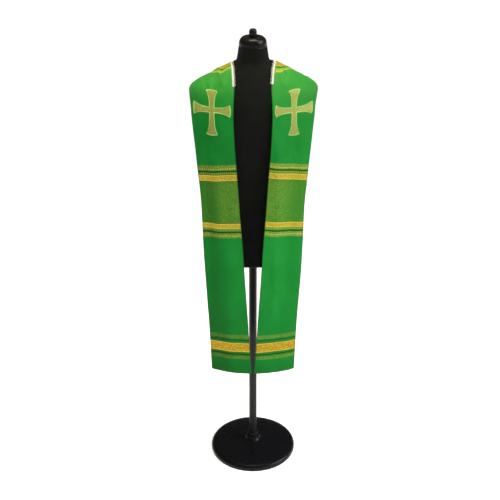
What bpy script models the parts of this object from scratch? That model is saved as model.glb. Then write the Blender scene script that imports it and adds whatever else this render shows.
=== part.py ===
"""Clerical stole worn on a limbless dress form, one object for each cut or turned piece.

Metres, +Z up. The stole's front faces -Y, so the wearer's left is +X.
The origin is the middle of the base's flat underside.
"""
import math

import bmesh
import bpy
import numpy as np

# Driving dimensions of the stole
HEM_Z = 0.447
LEVEL_Z = 1.400
SEAM_GAP = 0.0003
CLOTH = 0.0020
CLOTH_LIFT = 0.0012
APPLIQUE = 0.0011
APPLIQUE_GAP = 0.0006
LACE = 0.0010
LACE_GAP = 0.0004

# The lace's place, as shares of the panel's breadth from its neck edge, and its first rib
LACE_ON_CLOTH = 0.075
LACE_PAST_EDGE = 0.018
LACE_FIRST_RIB = 2.0


# Driving dimensions of the dress form
BASE_RADIUS = 0.164
POLE_RADIUS = 0.0145
POLE_FOOT_Z = 0.0720
TORSO_UNDERSIDE_Z = 0.850
CAP_SEAM_Z = 1.598
FINIAL_FOOT_Z = 1.6335

# How fine the meshes are
ACROSS_CELLS = 10
FRONT_CELLS = 20
YOKE_CELLS = 26
RING_POINTS = 36
TURNED_POINTS = 36

SECTION_COLUMNS = ("z", "half_width", "front", "back", "exponent")

# Level sections of the neck and shoulders, where the cloth lies on the form
SHOULDER_SECTIONS = (
    (CAP_SEAM_Z, 0.0445, 0.0445, 0.0445, 2.0),
    (1.575, 0.0500, 0.0490, 0.0490, 2.0),
    (1.556, 0.0540, 0.0525, 0.0540, 2.0),
    (1.546, 0.0600, 0.0570, 0.0605, 2.0),
    (1.541, 0.0660, 0.0610, 0.0660, 2.0),
    (1.532, 0.0860, 0.0680, 0.0740, 2.0),
    (1.524, 0.1050, 0.0760, 0.0800, 2.0),
    (1.505, 0.1400, 0.0920, 0.0920, 2.0),
    (1.486, 0.1750, 0.1050, 0.1000, 2.0),
)

# Below that the form's shoulder ends, and it narrows to a waist and spreads to the hips
BODY_SECTIONS = (
    (1.468, 0.1960, 0.1145, 0.1055, 2.00),
    (1.450, 0.2030, 0.1220, 0.1090, 2.00),
    (1.430, 0.2035, 0.1280, 0.1120, 2.02),
    (1.400, 0.1985, 0.1340, 0.1150, 2.05),
    (1.360, 0.1870, 0.1390, 0.1175, 2.15),
    (1.310, 0.1765, 0.1420, 0.1180, 2.25),
    (1.250, 0.1700, 0.1400, 0.1120, 2.30),
    (1.180, 0.1600, 0.1300, 0.1020, 2.30),
    (1.100, 0.1500, 0.1200, 0.0960, 2.25),
    (1.030, 0.1520, 0.1180, 0.1000, 2.20),
    (0.960, 0.1650, 0.1210, 0.1100, 2.20),
    (0.900, 0.1730, 0.1240, 0.1160, 2.20),
    (0.868, 0.1740, 0.1240, 0.1160, 2.20),
    (0.856, 0.1690, 0.1190, 0.1110, 2.20),
    (TORSO_UNDERSIDE_Z, 0.1580, 0.1080, 0.1000, 2.20),
)

# The cloth reaches a little past the shoulder and hangs in an even, gently rounded front
HANGING_SECTIONS = (
    (1.468, 0.2000, 0.1150, 0.1060, 2.0),
    (1.450, 0.2130, 0.1230, 0.1100, 2.0),
    (1.430, 0.2225, 0.1300, 0.1140, 2.0),
    (1.400, 0.2430, 0.1385, 0.1170, 2.0),
    (1.360, 0.2570, 0.1450, 0.1200, 2.0),
    (1.320, 0.2660, 0.1500, 0.1210, 2.0),
    (1.250, 0.2750, 0.1545, 0.1210, 2.0),
    (1.100, 0.2750, 0.1575, 0.1210, 2.0),
    (0.900, 0.2650, 0.1590, 0.1210, 2.0),
    (0.440, 0.2350, 0.1605, 0.1210, 2.0),
)

# The two long edges of a hanging panel
PANEL_COLUMNS = ("z", "neck_edge", "outer_edge")
PANEL_EDGES = (
    (HEM_Z, 0.0030, 0.1490),
    (0.560, 0.0115, 0.1520),
    (0.680, 0.0180, 0.1565),
    (0.800, 0.0255, 0.1635),
    (0.950, 0.0340, 0.1690),
    (1.080, 0.0430, 0.1715),
    (1.200, 0.0505, 0.1800),
    (1.300, 0.0575, 0.1890),
    (LEVEL_Z, 0.0620, 0.1995),
)

# The same edges over the shoulder: each rib of the yoke turns about a level line through
# the chest, from 0 degrees at the front to past 180 at the back, and closes on the middle
YOKE_COLUMNS = ("rib", "neck_turn", "neck_edge", "outer_turn", "outer_edge")
YOKE_RIBS = (
    (0.0, 0.0, 0.0620, 0.0, 0.1995),
    (1.0, 22.0, 0.0605, 27.0, 0.2030),
    (2.0, 41.0, 0.0585, 51.0, 0.2050),
    (3.0, 64.0, 0.0600, 74.0, 0.2055),
    (4.0, 90.0, 0.0640, 98.0, 0.2020),
    (5.0, 107.0, 0.0570, 128.0, 0.1870),
    (6.0, 119.0, 0.0420, 154.0, 0.1500),
    (7.0, 127.5, 0.0220, 180.0, 0.0820),
    (8.0, 133.0, 0.0000, 202.5, 0.0000),
)

# Large folds, each a soft ridge (or a trough, where the height is below 0) along a line
# seen from the front (side -1) or from behind (side 1). Where the cloth lies on the form
# they are all ridges, and it rests between them. Columns: side, x and z of one end, x and
# z of the other end, half width and height.
FOLDS = (
    (-1, -0.080, 1.528, -0.098, 1.496, 0.0100, 0.0026),
    (-1, -0.113, 1.520, -0.140, 1.490, 0.0130, 0.0030),
    (-1, 0.077, 1.536, 0.080, 1.504, 0.0080, 0.0022),
    (-1, 0.100, 1.526, 0.108, 1.490, 0.0110, 0.0026),
    (-1, -0.158, 1.330, -0.142, 0.760, 0.0210, -0.0050),
    (-1, 0.137, 1.300, 0.120, 0.780, 0.0200, -0.0045),
    (-1, 0.082, 1.310, 0.070, 0.700, 0.0160, 0.0028),
    (-1, -0.086, 0.900, -0.078, 0.470, 0.0240, 0.0030),
    (1, -0.118, 1.500, -0.066, 1.432, 0.0130, 0.0030),
    (1, 0.112, 1.500, 0.070, 1.436, 0.0130, 0.0026),
)

FOLD_END = 0.060

# A cross with flared arms: the way each arm points and its length, and half its breadth
# by the share of its length
CROSS_CENTRE = (0.131, 1.4180)
ARM_WAYS = ((0.0, 0.058), (90.0, 0.055), (180.0, 0.058), (270.0, 0.076))
ARM_COLUMNS = ("share", "half_breadth")
ARM_SHAPE = (
    (0.00, 0.0085),
    (0.45, 0.0095),
    (0.75, 0.0130),
    (1.00, 0.0190),
)
ARM_END_BOW = 0.0030
ARM_CELLS = 8
CROSS_CELLS = 4

# Turned profiles of the stand's hard pieces: radius and z, in order from the underside
BASE_PROFILE = (
    (BASE_RADIUS - 0.0040, 0.0000),
    (BASE_RADIUS, 0.0040),
    (BASE_RADIUS, 0.0115),
    (BASE_RADIUS - 0.0035, 0.0195),
    (BASE_RADIUS - 0.0140, 0.0250),
    (0.1000, 0.0320),
    (0.0320, 0.0380),
    (0.0230, 0.0480),
    (0.0195, 0.0690),
    (0.0170, POLE_FOOT_Z - SEAM_GAP),
)
CAP_PROFILE = (
    (0.0440, CAP_SEAM_Z + SEAM_GAP),
    (0.0449, 1.6000),
    (0.0447, 1.6080),
    (0.0432, 1.6155),
    (0.0402, 1.6225),
    (0.0357, 1.6290),
    (0.0300, 1.6338),
    (0.0240, 1.6366),
    (0.0190, 1.6370),
    (0.0155, 1.6350),
    (0.0125, FINIAL_FOOT_Z),
)
FINIAL_PROFILE = (
    (0.0095, FINIAL_FOOT_Z + SEAM_GAP),
    (0.0108, 1.6355),
    (0.0118, 1.6400),
    (0.0124, 1.6450),
    (0.0119, 1.6490),
    (0.0098, 1.6524),
    (0.0062, 1.6545),
    (0.0022, 1.6553),
)


def read_table(columns, rows):
    """A short table as named columns, sorted by the first one."""
    ordered = sorted(rows)
    return {name: np.array([row[i] for row in ordered], float)
            for i, name in enumerate(columns)}


def smooth_between(at, known_at, known):
    """Values between a table's rows, on cubics that keep each row and never overshoot.

    The slope at a row is the harmonic mean of the slopes on its two sides, or 0 at a turn.
    """
    steps = np.diff(known_at)
    rises = np.diff(known) / steps
    before, after = rises[:-1], rises[1:]
    same_way = before * after > 0
    total = np.where(same_way, before + after, 1.0)
    inner = np.where(same_way, 2.0 * before * after / total, 0.0)
    slopes = np.concatenate(([rises[0]], inner, [rises[-1]]))
    at = np.clip(at, known_at[0], known_at[-1])
    i = np.clip(np.searchsorted(known_at, at) - 1, 0, len(steps) - 1)
    share = (at - known_at[i]) / steps[i]
    low = (1 + 2 * share) * (1 - share) ** 2
    low_slope = share * (1 - share) ** 2
    high_slope = share ** 2 * (share - 1)
    return (low * known[i] + (1 - low) * known[i + 1]
            + steps[i] * (low_slope * slopes[i] + high_slope * slopes[i + 1]))


def column(table, key, name, at):
    return smooth_between(at, table[key], table[name])


FORM = read_table(SECTION_COLUMNS, SHOULDER_SECTIONS + BODY_SECTIONS)
DRAPE = read_table(SECTION_COLUMNS, SHOULDER_SECTIONS + HANGING_SECTIONS)
PANEL = read_table(PANEL_COLUMNS, PANEL_EDGES)
YOKE = read_table(YOKE_COLUMNS, YOKE_RIBS)


def drape_value(x, y, z):
    """Below 1 inside the shape that the cloth is draped on, 1 on it, above 1 outside."""
    half_width = column(DRAPE, "z", "half_width", z)
    front = column(DRAPE, "z", "front", z)
    back = column(DRAPE, "z", "back", z)
    exponent = column(DRAPE, "z", "exponent", z)
    depth = np.where(y < 0, front, back)
    return (np.abs(x) / half_width) ** exponent + (np.abs(y) / depth) ** exponent


def drape_normal(points):
    """Outward normals, from the slope of drape_value along each axis."""
    step = 0.0005
    slope = np.empty_like(points)
    for axis in range(3):
        ahead = points.copy()
        behind = points.copy()
        ahead[..., axis] += step
        behind[..., axis] -= step
        slope[..., axis] = (drape_value(*np.moveaxis(ahead, -1, 0))
                            - drape_value(*np.moveaxis(behind, -1, 0)))
    return slope / np.linalg.norm(slope, axis=-1, keepdims=True)


def front_points(x, z):
    """Points on the draped front above and below each other, from where they show."""
    half_width = column(DRAPE, "z", "half_width", z)
    front = column(DRAPE, "z", "front", z)
    y = -front * np.sqrt(np.clip(1 - (x / half_width) ** 2, 0, 1))
    return np.stack([x, y, z], axis=-1)


def turned_points(x, turn):
    """Points over the shoulder, where rays from a level line at LEVEL_Z leave the shape."""
    ahead, up = -np.cos(turn), np.sin(turn)
    near = np.full_like(x, 0.002)
    far = np.full_like(x, 0.260)
    for _ in range(34):
        middle = (near + far) / 2
        inside = drape_value(x, ahead * middle, LEVEL_Z + up * middle) < 1
        near = np.where(inside, middle, near)
        far = np.where(inside, far, middle)
    return np.stack([x, ahead * far, LEVEL_Z + up * far], axis=-1)


def panel_points(across, climb):
    """Points of the wearer's left panel, before lifting and folding.

    across runs from 0 at the neck edge to 1 at the outer edge. climb runs from 0 at the
    hem to 1 at LEVEL_Z, along level rows, and on to 2 at the centre-back seam, along the
    yoke's ribs.
    """
    z = HEM_Z + np.clip(climb, 0, 1) * (LEVEL_Z - HEM_Z)
    neck = column(PANEL, "z", "neck_edge", z)
    outer = column(PANEL, "z", "outer_edge", z)
    hanging = front_points(neck + across * (outer - neck), z)
    rib = np.clip(climb - 1, 0, 1) * YOKE["rib"][-1]
    neck_x = column(YOKE, "rib", "neck_edge", rib)
    outer_x = column(YOKE, "rib", "outer_edge", rib)
    neck_turn = column(YOKE, "rib", "neck_turn", rib)
    outer_turn = column(YOKE, "rib", "outer_turn", rib)
    x = np.maximum(neck_x + across * (outer_x - neck_x), SEAM_GAP / 2)
    turn = np.radians(neck_turn + across * (outer_turn - neck_turn))
    worn = turned_points(x, turn)
    return np.where((climb <= 1)[..., None], hanging, worn)


def fold_height(points):
    """How far the large folds lift the cloth at each point, or sink it.

    Each fold is a bell across its line, and fades out over its two ends.
    """
    height = np.zeros(points.shape[:-1])
    for side, x0, z0, x1, z1, half_width, top in FOLDS:
        length = math.hypot(x1 - x0, z1 - z0)
        dx = (x1 - x0) / length
        dz = (z1 - z0) / length
        along = (points[..., 0] - x0) * dx + (points[..., 2] - z0) * dz
        away = (points[..., 0] - x0) * dz - (points[..., 2] - z0) * dx
        fade = min(0.35 * length, FOLD_END)
        past = np.maximum(np.maximum(-along, along - length), 0) / fade
        faced = points[..., 1] * side > -0.012
        height += faced * top * np.exp(-(away / half_width) ** 2 - past ** 2 * 4)
    return height


def lifted(points, height):
    """Points moved out from the draped shape by a height, with the large folds added."""
    total = height + fold_height(points)
    return points + drape_normal(points) * total[..., None]


def make_material(name, colour, roughness, metallic=0.0):
    material = bpy.data.materials.new(name)
    material.use_nodes = True
    shader = material.node_tree.nodes["Principled BSDF"]
    shader.inputs["Base Color"].default_value = (*colour, 1.0)
    shader.inputs["Roughness"].default_value = roughness
    shader.inputs["Metallic"].default_value = metallic
    material.diffuse_color = (*colour, 1.0)
    return material


def add_object(name, points, faces, material, sharp_degrees=40):
    """A closed mesh object with outward faces, shaded smooth but for its sharp edges."""
    mesh = bpy.data.meshes.new(name)
    mesh.from_pydata([tuple(map(float, point)) for point in points], [], faces)
    shape = bmesh.new()
    shape.from_mesh(mesh)
    bmesh.ops.recalc_face_normals(shape, faces=shape.faces)
    shape.to_mesh(mesh)
    shape.free()
    mesh.shade_smooth()
    mesh.set_sharp_from_angle(angle=math.radians(sharp_degrees))
    mesh.materials.append(material)
    piece = bpy.data.objects.new(name, mesh)
    bpy.context.scene.collection.objects.link(piece)
    return piece


def wall_faces(rows, columns):
    """Quads of a wall whose inner and outer skins are two grids of the same size."""
    def index(skin, row, col):
        return (skin * rows + row) * columns + col

    faces = []
    for skin in (0, 1):
        for row in range(rows - 1):
            for col in range(columns - 1):
                faces.append((index(skin, row, col), index(skin, row, col + 1),
                              index(skin, row + 1, col + 1), index(skin, row + 1, col)))
    rim = [(row, 0) for row in range(rows)]
    rim += [(rows - 1, col) for col in range(1, columns)]
    rim += [(row, columns - 1) for row in range(rows - 2, -1, -1)]
    rim += [(0, col) for col in range(columns - 2, 0, -1)]
    for here, there in zip(rim, rim[1:] + rim[:1]):
        faces.append((index(0, *here), index(0, *there),
                      index(1, *there), index(1, *here)))
    return faces


def add_wall(name, base, low, thickness, material):
    """A wall of even thickness that follows a grid of points, from low to low + thickness."""
    inner = lifted(base, np.full(base.shape[:-1], low))
    outer = lifted(base, np.full(base.shape[:-1], low + thickness))
    points = np.concatenate([inner.reshape(-1, 3), outer.reshape(-1, 3)])
    return add_object(name, points, wall_faces(*base.shape[:2]), material)


def yoke_climb():
    """The yoke's rows, from the level row at the front to the centre-back seam."""
    return np.linspace(1, 2, YOKE_CELLS + 1)


def add_stole_half(name, side, material):
    """One long panel with its half of the yoke, cut in one and seamed at the back."""
    climb = np.concatenate([np.linspace(0, 1, FRONT_CELLS + 1), yoke_climb()[1:]])
    across = np.concatenate([[0], np.linspace(LACE_ON_CLOTH, 1, ACROSS_CELLS)])
    climb, across = np.meshgrid(climb, across, indexing="ij")
    base = panel_points(across, climb) * (side, 1, 1)
    return add_wall(name, base, CLOTH_LIFT, CLOTH, material)


def add_neck_lace(name, material):
    """The lace round the neck: a narrow strip over both halves' neck edges, on the same
    rows as the cloth below it."""
    first = 1 + LACE_FIRST_RIB / YOKE["rib"][-1]
    climb = yoke_climb()
    climb = climb[climb > first - 0.5 / YOKE_CELLS]
    across = np.array([-LACE_PAST_EDGE, 0, LACE_ON_CLOTH])
    climb, across = np.meshgrid(climb, across, indexing="ij")
    left = panel_points(across, climb)
    left[-1, :, 0] = 0.0
    right = left[:-1] * (-1, 1, 1)
    base = np.concatenate([right, left[::-1]])
    return add_wall(name, base, CLOTH_LIFT + CLOTH + LACE_GAP, LACE, material)


def cross_patches():
    """The cross laid flat, as point grids: a square middle and four arms that join it.

    An arm's point is its length's share along the arm and a share of its half breadth
    across it. The end row bows out in the middle.
    """
    arm = read_table(ARM_COLUMNS, ARM_SHAPE)
    middle = arm["half_breadth"][0]
    swing = np.linspace(-1, 1, CROSS_CELLS + 1)
    patches = [np.stack(np.meshgrid(swing * middle, swing * middle, indexing="ij"), -1)]
    share, swing = np.meshgrid(np.linspace(0, 1, ARM_CELLS + 1), swing, indexing="ij")
    breadth = column(arm, "share", "half_breadth", share)
    for degrees, length in ARM_WAYS:
        bow = ARM_END_BOW * share ** 4 * (1 - swing ** 2)
        out = middle + share * (length - middle) + bow
        across = swing * breadth
        cosine, sine = math.cos(math.radians(degrees)), math.sin(math.radians(degrees))
        patches.append(np.stack([out * cosine - across * sine,
                                 out * sine + across * cosine], axis=-1))
    return patches


def join_patches(patches):
    """Points, faces and outline edges of flat point grids, with shared points merged."""
    flat = bmesh.new()
    for patch in patches:
        rows, columns = patch.shape[:2]
        corners = [flat.verts.new((u, v, 0)) for u, v in patch.reshape(-1, 2)]
        for row in range(rows - 1):
            for col in range(columns - 1):
                at = row * columns + col
                flat.faces.new((corners[at], corners[at + 1],
                                corners[at + columns + 1], corners[at + columns]))
    bmesh.ops.remove_doubles(flat, verts=flat.verts, dist=0.00005)
    flat.verts.index_update()
    points = np.array([vert.co[:2] for vert in flat.verts])
    faces = [tuple(vert.index for vert in face.verts) for face in flat.faces]
    outline = [tuple(vert.index for vert in edge.verts)
               for edge in flat.edges if edge.is_boundary]
    flat.free()
    return points, faces, outline


def add_cross(name, side, material):
    """A raised cross on a panel: one flat shape, laid on the cloth as two skins."""
    flat, faces, outline = join_patches(cross_patches())
    x = (CROSS_CENTRE[0] + flat[:, 0]) * side
    z = CROSS_CENTRE[1] + flat[:, 1]
    base = front_points(x, z)
    low = CLOTH_LIFT + CLOTH + APPLIQUE_GAP
    skins = [lifted(base, np.full(len(base), low + extra)) for extra in (0, APPLIQUE)]
    size = len(flat)
    walls = [(a, b, b + size, a + size) for a, b in outline]
    upper = [tuple(size + corner for corner in face) for face in faces]
    return add_object(name, np.concatenate(skins), faces + upper + walls, material, 60)


def add_torso(name, material):
    """The form's body: one closed loft through level sections, with flat ends."""
    heights = np.concatenate([
        np.linspace(TORSO_UNDERSIDE_Z, 0.868, 4),
        np.linspace(0.900, 1.360, 9),
        np.linspace(1.385, 1.450, 5),
        np.linspace(1.457, 1.548, 15),
        np.linspace(1.560, CAP_SEAM_Z, 3)])
    angles = np.linspace(0, 2 * math.pi, RING_POINTS, endpoint=False)
    z = np.repeat(heights[:, None], RING_POINTS, axis=1)
    power = 2 / column(FORM, "z", "exponent", z)
    cosine, sine = np.cos(angles), np.sin(angles)
    depth = np.where(sine < 0, column(FORM, "z", "front", z), column(FORM, "z", "back", z))
    x = column(FORM, "z", "half_width", z) * np.sign(cosine) * np.abs(cosine) ** power
    y = depth * np.sign(sine) * np.abs(sine) ** power
    points = np.stack([x, y, z], axis=-1)
    faces = ring_faces(len(heights), RING_POINTS)
    return add_object(name, points.reshape(-1, 3), faces, material)


def ring_faces(rings, count):
    """Faces of a closed loft: a skin between its rings, and one flat face at each end."""
    faces = [(ring * count + i, ring * count + (i + 1) % count,
              (ring + 1) * count + (i + 1) % count, (ring + 1) * count + i)
             for ring in range(rings - 1) for i in range(count)]
    faces.append(tuple(range(count)))
    faces.append(tuple(range((rings - 1) * count, rings * count)))
    return faces


def add_turned(name, profile, material, points_round=TURNED_POINTS):
    """A turned piece: the profile carried round Z, with flat ends."""
    angles = np.linspace(0, 2 * math.pi, points_round, endpoint=False)
    rings = [np.stack([radius * np.cos(angles), radius * np.sin(angles),
                       np.full(points_round, z)], axis=-1)
             for radius, z in profile]
    faces = ring_faces(len(rings), points_round)
    return add_object(name, np.concatenate(rings), faces, material, 50)


for leftover in list(bpy.data.objects):
    bpy.data.objects.remove(leftover, do_unlink=True)

green_cloth = make_material("green_cloth", (0.030, 0.270, 0.060), 0.70)
white_lace = make_material("white_lace", (0.870, 0.870, 0.840), 0.80)
pale_gold = make_material("pale_gold_applique", (0.330, 0.390, 0.090), 0.55)
black_jersey = make_material("black_jersey", (0.012, 0.012, 0.013), 0.90)
black_gloss = make_material("black_gloss", (0.010, 0.010, 0.011), 0.25)
black_metal = make_material("black_metal", (0.015, 0.015, 0.016), 0.35)

add_stole_half("stole_left_half", 1, green_cloth)
add_stole_half("stole_right_half", -1, green_cloth)
add_neck_lace("neck_lace", white_lace)
add_cross("cross_left", 1, pale_gold)
add_cross("cross_right", -1, pale_gold)
add_torso("form_torso", black_jersey)
add_turned("form_cap", CAP_PROFILE, black_gloss)
add_turned("form_finial", FINIAL_PROFILE, black_gloss, 24)
add_turned("form_base", BASE_PROFILE, black_gloss, 56)
pole_top = TORSO_UNDERSIDE_Z - SEAM_GAP
add_turned("form_pole", ((POLE_RADIUS, POLE_FOOT_Z), (POLE_RADIUS, pole_top)), black_metal, 24)
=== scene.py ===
import math

import bpy
import numpy as np
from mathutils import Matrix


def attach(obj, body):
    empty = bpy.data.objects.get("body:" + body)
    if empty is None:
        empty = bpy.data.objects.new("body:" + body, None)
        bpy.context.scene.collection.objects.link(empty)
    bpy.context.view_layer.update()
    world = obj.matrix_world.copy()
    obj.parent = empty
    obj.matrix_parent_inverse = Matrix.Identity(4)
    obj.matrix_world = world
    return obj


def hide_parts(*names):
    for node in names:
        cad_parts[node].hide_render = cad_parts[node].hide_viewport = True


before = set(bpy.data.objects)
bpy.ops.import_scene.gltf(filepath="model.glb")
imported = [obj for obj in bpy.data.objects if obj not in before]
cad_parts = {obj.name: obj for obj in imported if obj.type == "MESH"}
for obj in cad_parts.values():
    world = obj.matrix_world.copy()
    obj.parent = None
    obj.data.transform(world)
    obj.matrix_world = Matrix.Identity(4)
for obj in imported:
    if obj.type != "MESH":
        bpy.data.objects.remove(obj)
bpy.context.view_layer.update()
scene = bpy.context.scene


# ------------
# Camera, room and lights: a long lens looks down a little at the whole stand, on a pale
# floor before a white backdrop that only the camera sees. A broad key light comes from the
# right, a strip overhead lights the cap, and three soft boxes fill in.

CAMERA_AWAY = 2.91
CAMERA_UP = 2.27
CAMERA_DOWN = math.radians(25.75)
FRAME_SIDE = 500
FOCAL_LENGTH = 901
SENSOR = 36
MIDDLE_COLUMN = 252.9

lens = bpy.data.cameras.new("camera")
lens.sensor_width = SENSOR
lens.lens = SENSOR * FOCAL_LENGTH / FRAME_SIDE
lens.shift_x = (FRAME_SIDE / 2 - MIDDLE_COLUMN) / FRAME_SIDE
camera = bpy.data.objects.new("camera", lens)
camera.location = (0, -CAMERA_AWAY, CAMERA_UP)
camera.rotation_euler = (math.pi / 2 - CAMERA_DOWN, 0, 0)
scene.collection.objects.link(camera)
scene.camera = camera
scene.view_settings.view_transform = "Standard"


def new_finish(name, colour, roughness, specular=0.5, **values):
    """A material and its Principled shader. values name its other sockets, with _ for a space."""
    material = bpy.data.materials.new(name)
    material.use_nodes = True
    shader = material.node_tree.nodes["Principled BSDF"]
    values.update(Base_Color=(*colour, 1), Roughness=roughness, Specular_IOR_Level=specular)
    for socket, value in values.items():
        shader.inputs[socket.replace("_", " ")].default_value = value
    material.diffuse_color = (*colour, 1)
    return material, shader


def stage_piece(name, points, faces, finish):
    """A piece of the room. It throws no light on the form, so the lamps alone do that."""
    mesh = bpy.data.meshes.new(name)
    mesh.from_pydata(points, [], faces)
    mesh.materials.append(finish)
    piece = bpy.data.objects.new(name, mesh)
    piece.visible_diffuse = False
    scene.collection.objects.link(piece)
    return piece


WHITE = (1, 1, 1, 1)
FLOOR_GREY = 0.97
FLOOR_GLOW = 0.58
ROOM_HALF = 20
ROOM_CORNERS = [
    (-ROOM_HALF, -ROOM_HALF), (ROOM_HALF, -ROOM_HALF), (ROOM_HALF, ROOM_HALF), (-ROOM_HALF, ROOM_HALF)]

floor_finish = new_finish(
    "pale_floor", (FLOOR_GREY,) * 3, 0.9, Emission_Color=WHITE, Emission_Strength=FLOOR_GLOW)[0]
stage_piece("floor", [(x, y, 0) for x, y in ROOM_CORNERS], [(0, 1, 2, 3)], floor_finish)
backdrop_finish = new_finish(
    "white_backdrop", (0, 0, 0), 1, Emission_Color=WHITE, Emission_Strength=1)[0]
backdrop = stage_piece("backdrop", [(x, y, z) for z in (0, ROOM_HALF) for x, y in ROOM_CORNERS],
                       [(0, 4, 5, 1), (1, 5, 6, 2), (2, 6, 7, 3), (3, 7, 4, 0)], backdrop_finish)
backdrop.visible_glossy = False
backdrop.visible_shadow = False

ROOM_COLOUR = (0.96, 0.98, 1, 1)
ROOM_STRENGTH = 0.09

room = bpy.data.worlds.new("pale_room")
room.use_nodes = True
glow = room.node_tree.nodes["Background"].inputs
glow["Color"].default_value = ROOM_COLOUR
glow["Strength"].default_value = ROOM_STRENGTH
scene.world = room

AIM = (0, 0, 1.2)
KEY_SOFTNESS = math.radians(46)
WARM = (1, 0.92, 0.68)


def add_light(kind, name, strength, turn, rise, away=3, mirrored=True, **settings):
    """A light aimed at AIM from turn degrees right of the camera, rise degrees up and away metres off.
    It is never seen, and makes a highlight only where it is mirrored."""
    light = bpy.data.lights.new(name, kind)
    light.energy = strength
    for setting, value in settings.items():
        setattr(light, setting, value)
    lamp = bpy.data.objects.new(name, light)
    turn, rise = math.radians(turn), math.radians(rise)
    way = np.array([math.sin(turn) * math.cos(rise), -math.cos(turn) * math.cos(rise), math.sin(rise)])
    lamp.location = AIM + away * way
    lamp.rotation_euler = (math.pi / 2 - rise, 0, turn)
    lamp.visible_camera = False
    lamp.visible_glossy = mirrored
    scene.collection.objects.link(lamp)


add_light("SUN", "key_light", 2.45, 75, 30, angle=KEY_SOFTNESS)
add_light("AREA", "top_box", 10, 6, 81, away=1.6, color=WARM, shape="RECTANGLE", size=1.1, size_y=0.2)
add_light("AREA", "left_box", 36, -90, 74, away=1.9, mirrored=False, color=WARM,
          shape="RECTANGLE", size=0.45, size_y=1.5)
add_light("AREA", "low_box", 7.8, 14, -14, away=1.2, mirrored=False, size=0.5)
add_light("AREA", "front_box", 2, 0, 32, away=2, mirrored=False, size=0.5)


# ------------
# Base, pole, neck cap and finial: a cast disc with a socket for the steel pole, and two
# turned pieces on top of the neck. All are lacquered black; the finial screws in.

SMOOTH_ANGLE = math.radians(50)


def smooth_between(at, known_at, known):
    """Values between a table's rows, on cubics that pass through each row and never overshoot."""
    steps = np.diff(known_at)
    rises = np.diff(known) / steps
    before, after = rises[:-1], rises[1:]
    same_way = before * after > 0
    total = np.where(same_way, before + after, 1)
    inner = np.where(same_way, 2 * before * after / total, 0)
    slopes = np.concatenate(([rises[0]], inner, [rises[-1]]))
    at = np.clip(at, known_at[0], known_at[-1])
    i = np.clip(np.searchsorted(known_at, at) - 1, 0, len(steps) - 1)
    share = (at - known_at[i]) / steps[i]
    low = (1 + 2 * share) * (1 - share) ** 2
    low_slope = share * (1 - share) ** 2
    high_slope = share ** 2 * (share - 1)
    return (low * known[i] + (1 - low) * known[i + 1]
            + steps[i] * (low_slope * slopes[i] + high_slope * slopes[i + 1]))


def grid_of(*values):
    """Values side by side, as the last axis of one grid."""
    return np.stack(np.broadcast_arrays(*values), -1)


def numbered(points):
    """Point numbers, laid out as the points' own grid."""
    return np.arange(points.size // 3).reshape(points.shape[:-1])


def cell_corners(grid):
    """The four corners of every cell of a grid of numbers or places, in order round the cell."""
    corners = (grid[:-1, :-1], grid[:-1, 1:], grid[1:, 1:], grid[1:, :-1])
    return np.stack(corners, axis=2).reshape((-1, 4) + grid.shape[2:])


def add_piece(name, node, points, faces, finishes, flat_map, slots=None, caps=(), marks=()):
    """A smooth mesh object at the origin, on the stand in place of a solid's node. faces are quads,
    caps any other faces, slots each quad's finish, flat_map its corners' places in metres, and marks
    named values for the points."""
    mesh = bpy.data.meshes.new(name)
    caps = [list(map(int, cap)) for cap in caps]
    mesh.from_pydata(points.reshape(-1, 3).tolist(), [], faces.tolist() + caps)
    for finish in finishes:
        mesh.materials.append(finish)
    if slots is not None:
        numbers = np.concatenate([slots, np.full(len(caps), slots[-1])])
        mesh.polygons.foreach_set("material_index", numbers.astype(np.int32))
    layer = mesh.uv_layers.new(name="flat")
    places = np.zeros((len(mesh.loops), 2))
    places[:len(faces) * 4] = flat_map.reshape(-1, 2)
    layer.uv.foreach_set("vector", places.astype(np.float32).ravel())
    for mark, values in dict(marks).items():
        layer = mesh.attributes.new(mark, "FLOAT", "POINT")
        layer.data.foreach_set("value", np.asarray(values, np.float32).ravel())
    mesh.shade_smooth()
    mesh.set_sharp_from_angle(angle=SMOOTH_ANGLE)
    mesh.update()
    piece = bpy.data.objects.new(name, mesh)
    scene.collection.objects.link(piece)
    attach(piece, "root")
    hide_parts(node)
    return piece


def add_round(name, node, points, flat_map, finish):
    """A piece whose grid of points closes round Z, between two flat ends."""
    numbers = numbered(points)
    joined = np.concatenate([numbers, numbers[:, :1]], axis=1)
    return add_piece(name, node, points, cell_corners(joined), [finish],
                     cell_corners(flat_map), caps=(numbers[0, ::-1], numbers[-1]))


def add_turned(name, node, profile, finish, rows, count=160):
    """A turned piece: its profile of (radius, z) rows as a smooth line, carried round Z."""
    profile = np.array(profile) / 1000
    length = np.concatenate([[0], np.cumsum(np.hypot(*np.diff(profile, axis=0).T))])
    along = np.unique(np.concatenate([length, np.linspace(0, length[-1], rows)]))
    radius = smooth_between(along, length, profile[:, 0])[:, None]
    z = smooth_between(along, length, profile[:, 1])[:, None]
    turn = np.linspace(0, math.tau, count + 1)
    points = grid_of(radius * np.cos(turn[:-1]), radius * np.sin(turn[:-1]), z)
    flat_map = grid_of(turn * profile[:, 0].max(), along[:, None])
    return add_round(name, node, points, flat_map, finish)


def put(kind, inputs=(), tree=None, **settings):
    """The outputs of a new node, with its settings. Each input is set to a value, or joined to another
    node's output, whose tree the node goes into."""
    inputs = dict(inputs)
    joined = {name for name, value in inputs.items() if isinstance(value, bpy.types.NodeSocket)}
    for name in joined:
        tree = inputs[name].id_data
    made = tree.nodes.new("ShaderNode" + kind)
    for name, value in settings.items():
        setattr(made, name, value)
    for name, value in inputs.items():
        if name in joined:
            tree.links.new(value, made.inputs[name])
        else:
            made.inputs[name].default_value = value
    return made.outputs


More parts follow.
